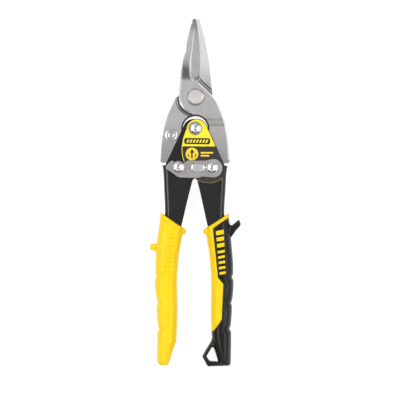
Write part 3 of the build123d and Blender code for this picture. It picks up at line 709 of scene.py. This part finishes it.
def left_height(points):
    height = np.max([form.over(points) for form in (left_body, left_guard_form, left_stop_form)], 0)
    full = step(height, *FULL)
    from_mouth = distances(points, left_high[-1:] + left_mouth, closed=False).min(1)
    height += COLLAR * full * step(from_mouth, *LEFT_COLLAR)
    height -= LEFT_GROOVE * full * finger_grooves(points, LEFT_NOTCHES, -1)
    height += FRAME_RISE * near(points, PANEL + PANEL[:1], FRAME_WIDTH)
    top, other_top, other_foot, foot = np.array(PANEL)
    for i in range(RIBS):
        t = (i + FIRST_GAP) / (RIBS - 1 + FIRST_GAP + LAST_GAP)
        a, b = top + (foot - top) * t, other_top + (other_foot - other_top) * t
        height += RIB_RISE * near(points, [tuple(a + (b - a) * end) for end in RIB_ENDS], RIB_WIDTH)
    return height


points, faces, rim = flat_mesh([left_outline], spacing=GRID, rings=GRIP_RINGS, dense=[(PANEL, PANEL_GRID)])
grip_left = solid_of(points, faces, rim, left_height(points), "grip_left_moulding", YELLOW)
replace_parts(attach(grip_left, "handle_left"), "grip_left")

RIGHT_NOTCHES = [(25.8, -165.7), (26.7, -147.2), (27.2, -128.7)]
right_low = [(27.0, -189.7), (27.1, -176.0), (27.0, -168.0), RIGHT_NOTCHES[0],
             *through((26.7, -163.6), (27.2, -157.0), (27.4, -152.0), (27.4, -149.4)), RIGHT_NOTCHES[1],
             *through((27.5, -145.2), (28.1, -140.0), (28.4, -134.5), (28.3, -130.9)), RIGHT_NOTCHES[2],
             *through((28.1, -126.6), (28.0, -119.0), (27.2, -110.0), (26.3, -100.3))]
right_guard = [(29.8, -95.4), (33.0, -91.8), (33.2, -90.0), (32.2, -87.5), (31.4, -87.5), (27.6, -90.7),
               *arc((27.6, -90.7), (26.2, -91.2), (25.3, -90.2), 6)]
right_high = [(24.8, -88.0), (24.8, -82.5)]
right_mouth = [(9.7, -92.4)]
right_stop = [(7.0, -94.4), (6.3, -95.2), (6.3, -97.3), (6.9, -98.0)]
right_inner = [(8.2, -98.2),
               *through((8.2, -98.2), (10.9, -114.0), (12.2, -133.0), (12.2, -155.0), (13.1, -172.5))]
right_loop = [(12.6, -174.6), (10.8, -177.4),
              (6.9, -184.2), *arc((6.9, -184.2), (6.4, -185.3), (6.6, -186.4), 4),
              (9.3, -191.4), *arc((9.3, -191.4), (10.4, -192.6), (12.2, -192.9), 6)]
right_foot = [(24.2, -192.4), *arc((24.2, -192.4), (26.3, -191.6), (27.0, -189.7), 8)[:-1]]
right_outline = (right_low + right_guard + right_high + right_mouth + right_stop + right_inner + right_loop
                 + right_foot)
loop_hole = [(14.2, -179.3), (14.7, -180.0), (17.5, -188.6), (17.1, -189.2), (12.2, -188.8), (11.3, -188.3),
             (9.7, -185.8), (9.8, -185.0), (13.0, -179.6), (13.6, -179.1)]

right_body = Form(BODY_HALF, (SIDE_R, right_low), (SIDE_R, [(25.4, -94.0)]), (SIDE_R, right_high[:1]),
                  (MOUTH_R, right_high[1:] + right_mouth), (SIDE_R, [(8.2, -93.3)]), (SIDE_R, right_inner),
                  (SIDE_R, [(14.6, -180.0), (17.8, -189.4)]), (FOOT_R, [(18.6, -192.6)] + right_foot))
right_guard_form = Form(GUARD_HALF, (RIGHT_GUARD_R, right_low[-1:] + right_guard),
                        (BURIED_R, [(21.0, -89.0), (21.0, -101.0)]))
right_stop_form = Form(STOP_HALF, (MOUTH_R, right_mouth), (STOP_R, right_stop),
                       (BURIED_R, [(10.0, -98.4), (12.5, -95.0)]))
right_loop_form = Form(LOOP_HALF, (LOOP_R, right_inner[-1:] + right_loop[:-1]),
                       (LOOP_ROOT_R, right_loop[-1:] + [(22.0, -192.5), (22.0, -172.0)]))

# the line between the yellow core and the overmould, and the zone on the core's side of it
SPLIT = [(24.9, -85.6), (14.6, -92.6), (13.5, -93.6), (13.2, -95.2), (13.9, -101.0), (16.4, -122.6),
         (17.0, -128.7), (21.0, -133.3), (19.9, -158.5), (14.6, -166.4), (12.3, -167.6)]
CORE_ZONE = SPLIT + [(0.0, -167.6), (0.0, -80.0), (26.0, -80.0)]
SEAM_DEPTH, SEAM_WIDTH = 0.45, 0.42
PROUD = 0.35                    # how far the overmould stands over the core
PROUD_FADE = (0.0, 0.6)
# creases that set off the finger pads
PADS = ([(24.6, -131.5), (24.0, -133.5), (23.7, -139.0), (23.5, -144.5)],
        [(23.2, -150.0), (22.8, -152.5), (22.5, -157.5), (22.4, -163.0)])
PAD_DEPTH, PAD_WIDTH = 0.35, 0.45


def right_height(points):
    height = np.max([form.over(points) for form in (right_body, right_guard_form, right_stop_form)], 0)
    hole_side = section(distances(points, loop_hole).min(1) / LOOP_R)
    height = np.maximum(height, right_loop_form.over(points) * hole_side)
    full = step(height, *FULL)
    from_mouth = distances(points, right_high[1:] + right_mouth, closed=False).min(1)
    height += COLLAR * full * step(from_mouth, *RIGHT_COLLAR)
    height -= RIGHT_GROOVE * full * finger_grooves(points, RIGHT_NOTCHES, 1)
    for pad in PADS:
        height -= PAD_DEPTH * full * near(points, pad, PAD_WIDTH)
    sunk = inside(points, CORE_ZONE) * step(distances(points, SPLIT, closed=False).min(1), *PROUD_FADE)
    height -= PROUD * full * sunk
    height -= SEAM_DEPTH * full * near(points, SPLIT, SEAM_WIDTH)
    return height


crossings = [(24.8, -85.53), (12.86, -167.35)]      # where the split meets the outline
right_outline.insert(right_outline.index(right_high[0]) + 1, crossings[0])
right_outline.insert(right_outline.index(right_inner[-1]), crossings[1])
split_line = crossings[:1] + SPLIT[1:-1] + crossings[1:]
points, faces, rim = flat_mesh([right_outline, loop_hole], lines=[split_line], spacing=GRID, rings=GRIP_RINGS)
height = right_height(points)
centres = np.array([points[list(f)].mean(0) for f in faces])
core = list(inside(centres, CORE_ZONE))
grip_core = solid_of(points, faces, rim, height, "grip_right_inner", YELLOW, keep=core)
grip_cover = solid_of(points, faces, rim, height, "grip_right_overmould", RUBBER, keep=[not k for k in core])
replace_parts(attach(grip_core, "handle_right"), "grip_right_core")
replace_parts(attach(grip_cover, "handle_right"), "grip_right_cover")

# ---- printed marks ----
INK = 0.04                      # thickness of a layer of print
PLATE_GRID = 2.0


def plate(name, loops, bottom, material):
    """A thin flat layer of the label that fills the loops."""
    points, faces, _ = flat_mesh(loops, spacing=PLATE_GRID)
    vertices, made = layer(points, faces, [bottom + INK] * len(points), [bottom] * len(points))
    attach(mesh_object(name, vertices, made, material, smooth=False), "handle_right")


def rounded_box(low, high, radius, steps=6):
    """A rectangle with rounded corners."""
    corners = ((high[0] - radius, high[1] - radius, 0), (low[0] + radius, high[1] - radius, 90),
               (low[0] + radius, low[1] + radius, 180), (high[0] - radius, low[1] + radius, 270))
    turned = [(x, y, radians(start + 90 * i / steps)) for x, y, start in corners for i in range(steps + 1)]
    return [(x + radius * cos(angle), y + radius * sin(angle)) for x, y, angle in turned]


def strip(line, width):
    """A narrow band along an open line."""
    p = np.array(line, float)
    along = np.gradient(p, axis=0)
    side = np.stack([-along[:, 1], along[:, 0]], 1) / np.hypot(*along.T)[:, None] * width / 2
    return [tuple(q) for q in p + side] + [tuple(q) for q in (p - side)[::-1]]


HALF_LINE = -35.2               # where the yellow half of the label meets the black half
HALF_LEFT, HALF_RIGHT = (-9.4, HALF_LINE), (14.5, HALF_LINE)
YELLOW_TOP = [(7.95, -20.9), (0.6, -16.05), (-6.15, -22.8)]     # the arc round the rivet, from the right
RIVET_GAP_R = 4.8
yellow_half = [YELLOW_TOP[0], *arc(*YELLOW_TOP), *through(YELLOW_TOP[2], (-8.5, -29.5), HALF_LEFT),
               HALF_RIGHT]
plate("label_yellow_half", [yellow_half, circle(RIVET, RIVET_GAP_R)], LABEL_TOP, LABEL_YELLOW)
label_edge = [HALF_LEFT, *through(HALF_LEFT, (-8.9, -42.0), (-7.2, -47.3), (-3.6, -52.4), (-0.6, -55.9))]
plate("label_edge_line", [strip(label_edge, width=0.4)], LABEL_TOP, LABEL_YELLOW)
foot_line = arc((0.6, -58.6), (9.4, -61.1), (19.6, -57.9), steps=24)
plate("label_foot_line", [strip(foot_line, width=0.35)], LABEL_TOP, LABEL_OLIVE)

# slanted bars on a black band, in the place of lettering
BAND = ((-7.9, -33.7), (10.7, -29.3))
BAND_R = 1.5
BAND_BARS = 7
BAR_START, BAR_PITCH, BAR_WIDTH, BAR_SLANT = -6.3, 2.25, 1.25, 0.95
BAR_FOOT, BAR_HEAD = -32.6, -30.4
plate("label_band", [rounded_box(*BAND, BAND_R)], LABEL_TOP + INK, LABEL_BLACK)
for i in range(BAND_BARS):
    x = BAR_START + i * BAR_PITCH
    head = x + BAR_SLANT
    bar = [(x, BAR_FOOT), (x + BAR_WIDTH, BAR_FOOT), (head + BAR_WIDTH, BAR_HEAD), (head, BAR_HEAD)]
    plate(f"label_band_bar_{i + 1}", [bar], LABEL_TOP + 2 * INK, LABEL_YELLOW)

DIAL, DIAL_R = (-2.2, -40.7), 4.5           # the round sign for a straight cut
plate("label_dial", [circle(DIAL, DIAL_R)], LABEL_TOP, LABEL_GOLD)
arrow = [(-0.55, -3.1), (0.55, -3.1), (0.55, 0.9), (1.75, 0.9), (0.0, 3.6), (-1.75, 0.9), (-0.55, 0.9)]
side_dash = [(1.5, -2.1), (2.1, -2.6), (3.3, -0.2), (2.7, 0.2)]
for name, shape, side in (("arrow", arrow, 1), ("dash_right", side_dash, 1), ("dash_left", side_dash, -1)):
    loop = [(DIAL[0] + side * x, DIAL[1] + y) for x, y in shape]
    plate(f"label_dial_{name}", [loop if side == 1 else loop[::-1]], LABEL_TOP + INK, LABEL_BLACK)
LABEL_BARS = (((4.0, -40.3), (12.9, -39.2)), ((4.0, -42.4), (10.2, -41.3)))
LABEL_BAR_R = 0.4
for i, corners in enumerate(LABEL_BARS):
    plate(f"label_bar_{i + 1}", [rounded_box(*corners, LABEL_BAR_R)], LABEL_TOP, LABEL_GOLD)

# raised bars on the overmould, between two lines, each from one share of the way along them to another
MARK_LEFT = np.array([(15.2, -95.6), (18.2, -127.0)])
MARK_RIGHT = np.array([(20.8, -94.4), (22.6, -126.2)])
MARK_SHARES = ((0.0, 0.10), (0.15, 0.24), (0.29, 0.38), (0.45, 0.51),
               (0.57, 0.63), (0.69, 0.75), (0.81, 0.87), (0.93, 0.99))
MARK_RISE, MARK_ROOT = 0.12, 0.2            # how far a bar stands out and how deep it reaches in
MARK_GRID = 0.5
for i, (begin, end) in enumerate(MARK_SHARES):
    left = [MARK_LEFT[0] + (MARK_LEFT[1] - MARK_LEFT[0]) * share for share in (begin, end)]
    right = [MARK_RIGHT[0] + (MARK_RIGHT[1] - MARK_RIGHT[0]) * share for share in (end, begin)]
    points, faces, _ = flat_mesh([[tuple(p) for p in left + right]], spacing=MARK_GRID)
    base = MID + right_height(points)
    vertices, made = layer(points, faces, base + MARK_RISE, base - MARK_ROOT)
    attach(mesh_object(f"grip_mark_{i + 1}", vertices, made, YELLOW), "handle_right")


# ---- round marks on the rear tang ----
FORGED_MARK = (-17.1, -27.4)
RING_STEPS, RIDGE_STEPS = 64, 8             # round a ring, and over its rounded top
RING_ROOT = 0.05                # how far its foot lies below the tang's face


def bands(rows, sides):
    """Faces between rows of points, each of which goes once round."""
    turns = [(row * sides, k, (k + 1) % sides) for row in range(rows - 1) for k in range(sides)]
    return [(first + a, first + b, first + sides + b, first + sides + a) for first, a, b in turns]


for name, radius, half_width, rise in (("outer", 3.9, 0.6, 0.22), ("inner", 1.9, 0.5, 0.16)):
    vertices = []
    for i in range(RIDGE_STEPS + 1):
        over = pi * i / RIDGE_STEPS
        z = TANG_TOP + (rise + RING_ROOT) * sin(over) - RING_ROOT
        vertices += [(*p, z) for p in circle(FORGED_MARK, radius + half_width * cos(over), RING_STEPS)]
    ring = mesh_object(f"forged_ring_{name}", vertices, bands(RIDGE_STEPS + 1, RING_STEPS), REAR_BLADE)
    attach(ring, "blade_rear")


# ---- return spring ----
WIRE_R = 0.7
WIRE_SIDES = 12
COIL_R = 5.5
TURNS = 2.5
TURN_STEPS = 40
LEG = 14.8
LEG_LEAN = 0.16                 # how far a leg leans out, as a share of its length
LEG_STEPS = 6
COIL_MARGIN = 0.75              # from the ends of the spring's box to the wire's axis


def tube(name, path, radius, material, sides):
    """A round wire along a path of points, closed at both ends."""
    path = [Vector(p) for p in path]
    across = None
    vertices = []
    for i, p in enumerate(path):
        along = (path[min(i + 1, len(path) - 1)] - path[max(i - 1, 0)]).normalized()
        across = (along.orthogonal() if across is None else across - along * across.dot(along)).normalized()
        third = along.cross(across)
        vertices += [p + radius * (across * cos(2 * pi * k / sides) + third * sin(2 * pi * k / sides))
                     for k in range(sides)]
    ends = [tuple(range(sides))[::-1], tuple(range(len(vertices) - sides, len(vertices)))]
    return mesh_object(name, vertices, bands(len(path), sides) + ends, material)


coil_top, coil_bottom = SPRING_HIGH.z - COIL_MARGIN, SPRING_LOW.z + COIL_MARGIN
coil_steps = int(TURNS * TURN_STEPS)
coil = []
for i in range(coil_steps + 1):
    turned = 2 * pi * i / TURN_STEPS
    z = coil_top + (coil_bottom - coil_top) * i / coil_steps
    coil.append((RIVET[0] + COIL_R * cos(turned), RIVET[1] + COIL_R * sin(turned), z))
leg_points = [LEG * k / LEG_STEPS for k in range(1, LEG_STEPS + 1)]
legs = [[(side * (COIL_R + LEG_LEAN * reach), RIVET[1] - reach, z) for reach in leg_points]
        for side, z in ((1, coil_top), (-1, coil_bottom))]
spring = tube("return_spring_wire", legs[0][::-1] + coil + legs[1], WIRE_R, SPRING, WIRE_SIDES)
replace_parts(spring, "return_spring")
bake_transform(spring)

# ---- stage and light ----
FLOOR = 6000.0                  # half the floor's width
FLOOR_Z = -0.05
floor_finish = Finish("floor_paper", (0.22, 0.22, 0.22), 0.9, Emission_Color=(1, 1, 1, 1),
                      Emission_Strength=0.92)
floor_finish.colour(floor_finish.tones(floor_finish.noise(60.0), 0.21, 0.23))
floor_corners = [(x * FLOOR, y * FLOOR, FLOOR_Z) for x, y in ((-1, -1), (1, -1), (1, 1), (-1, 1))]
floor = mesh_object("floor", floor_corners, [(0, 1, 2, 3)], floor_finish.material, smooth=False)


def towards(azimuth, lean):
    """The direction that leans from straight up by an angle, towards an azimuth from +X."""
    level = sin(radians(lean))
    return level * cos(radians(azimuth)), level * sin(radians(azimuth)), cos(radians(lean))


class Sky(Nodes):
    """Soft lamps and dark gaps over the tool, as a world whose light depends on the direction only.
    Angles are in degrees."""

    def __init__(self, stops, blue):
        self.world = bpy.data.worlds.new("studio")
        super().__init__(self.world)
        self.direction = self.node("ShaderNodeTexCoord").outputs["Generated"]
        tones = [(position, (value, value, value * blue)) for position, value in stops]
        self.light = self.ramp(self.parts(self.direction)["Z"], *tones)

    def along(self, direction):
        """Cosine of the angle to a direction."""
        return self.vector("DOT_PRODUCT", self.direction, Vector(direction).normalized())

    def spot(self, direction, full, none):
        """1 at one angle from a direction and 0 at another, whichever is the larger."""
        return self.share(self.along(direction), cos(radians(none)), cos(radians(full)))

    def band(self, across, full, none):
        """1 along the great circle square to a direction, and 0 beyond an angle from it."""
        return self.share(self.math("ABSOLUTE", self.along(across)), sin(radians(none)), sin(radians(full)))

    def add(self, amount, strength):
        """Adds a lamp of a strength."""
        self.light = self.vector("ADD", self.light, self.vector("MULTIPLY", amount, (strength,) * 3))

    def multiply(self, amount, strength):
        """Multiplies the light by a strength where amount is 1."""
        self.light = self.vector("MULTIPLY", self.light, self.share(amount, 0.0, 1.0, 1.0, strength))


UP = (0, 0, 1)
RIGHT, BACK, LEFT, FRONT = 0, 90, 180, 270              # azimuths; back is towards the tips
# light by the cosine of the angle from straight up
SKY_LIGHT = ((0.0, 0.36), (0.20, 0.42), (0.50, 0.64), (0.70, 0.72),
             (0.86, 0.74), (0.95, 0.72), (0.99, 0.68), (1.0, 0.63))
sky = Sky(SKY_LIGHT, blue=0.995)

# two long lamps, which the bends of the handles reflect
LAMP_LEAN = 33
for azimuth, strength in ((RIGHT, 3.8), (LEFT, 6.2)):
    side = 1 if azimuth == RIGHT else -1
    long_way = sky.band((cos(radians(LAMP_LEAN)), 0, -side * sin(radians(LAMP_LEAN))), full=3, none=17)
    sky.add(sky.product(long_way, sky.spot(towards(azimuth, LAMP_LEAN), full=24, none=36)), strength)

# dark seams between the lamps, which only the domed heads show, each from one lean to another
SEAM_HALF, SEAM_SOFT = 4.5, 2.5
for azimuth, first, last in ((57, 17, 62), (212, 13, 40), (322, 14, 38)):
    seam = sky.product(sky.band(towards(azimuth + 90, 90), SEAM_HALF, SEAM_HALF + SEAM_SOFT),
                       sky.spot(UP, full=first, none=first - 4), sky.spot(UP, full=last, none=last + 5),
                       sky.share(sky.along(towards(azimuth, 90)), 0.0, 0.1))
    sky.multiply(seam, 0.04)

# a dark stretch low in front, and soft patches that shade the bevels and the leaning faces
low_front = sky.product(sky.spot(UP, full=57, none=54), sky.spot(UP, full=68, none=72),
                        sky.share(sky.along(towards(FRONT, 90)), 0.52, 0.62))
sky.multiply(low_front, 0.05)
sky.multiply(sky.spot(towards(BACK, 21.5), full=5.5, none=8.5), 0.03)
sky.multiply(sky.spot(towards(225, 51), full=9, none=15), 0.25)
sky.multiply(sky.spot(towards(FRONT, 31), full=5, none=10), 0.50)
sky.multiply(sky.spot(towards(BACK, 8), full=1.5, none=5), 1.22)
sky.multiply(sky.spot((1, 0, 0.12), full=22, none=45), 2.2)
sky.link(sky.light, sky.tree.nodes["Background"].inputs["Color"])
bpy.context.scene.world = sky.world

# ---- camera ----
VIEW_CENTRE = (3.8, -73.5)      # what is under the middle of the picture
VIEW_DISTANCE = 1200.0
VIEW_WIDTH = 287.2              # width of the picture at the height of MID
VIEW_TURN = 0.485               # degrees
camera_data = bpy.data.cameras.new("camera")
camera_data.sensor_width = 36.0
camera_data.lens = camera_data.sensor_width * VIEW_DISTANCE / VIEW_WIDTH
camera = bpy.data.objects.new("camera", camera_data)
bpy.context.scene.collection.objects.link(camera)
camera.location = Vector((*VIEW_CENTRE, MID + VIEW_DISTANCE)) * MM
camera.rotation_euler = (0, 0, radians(VIEW_TURN))
bpy.context.scene.camera = camera
bpy.context.scene.view_settings.view_transform = "Standard"
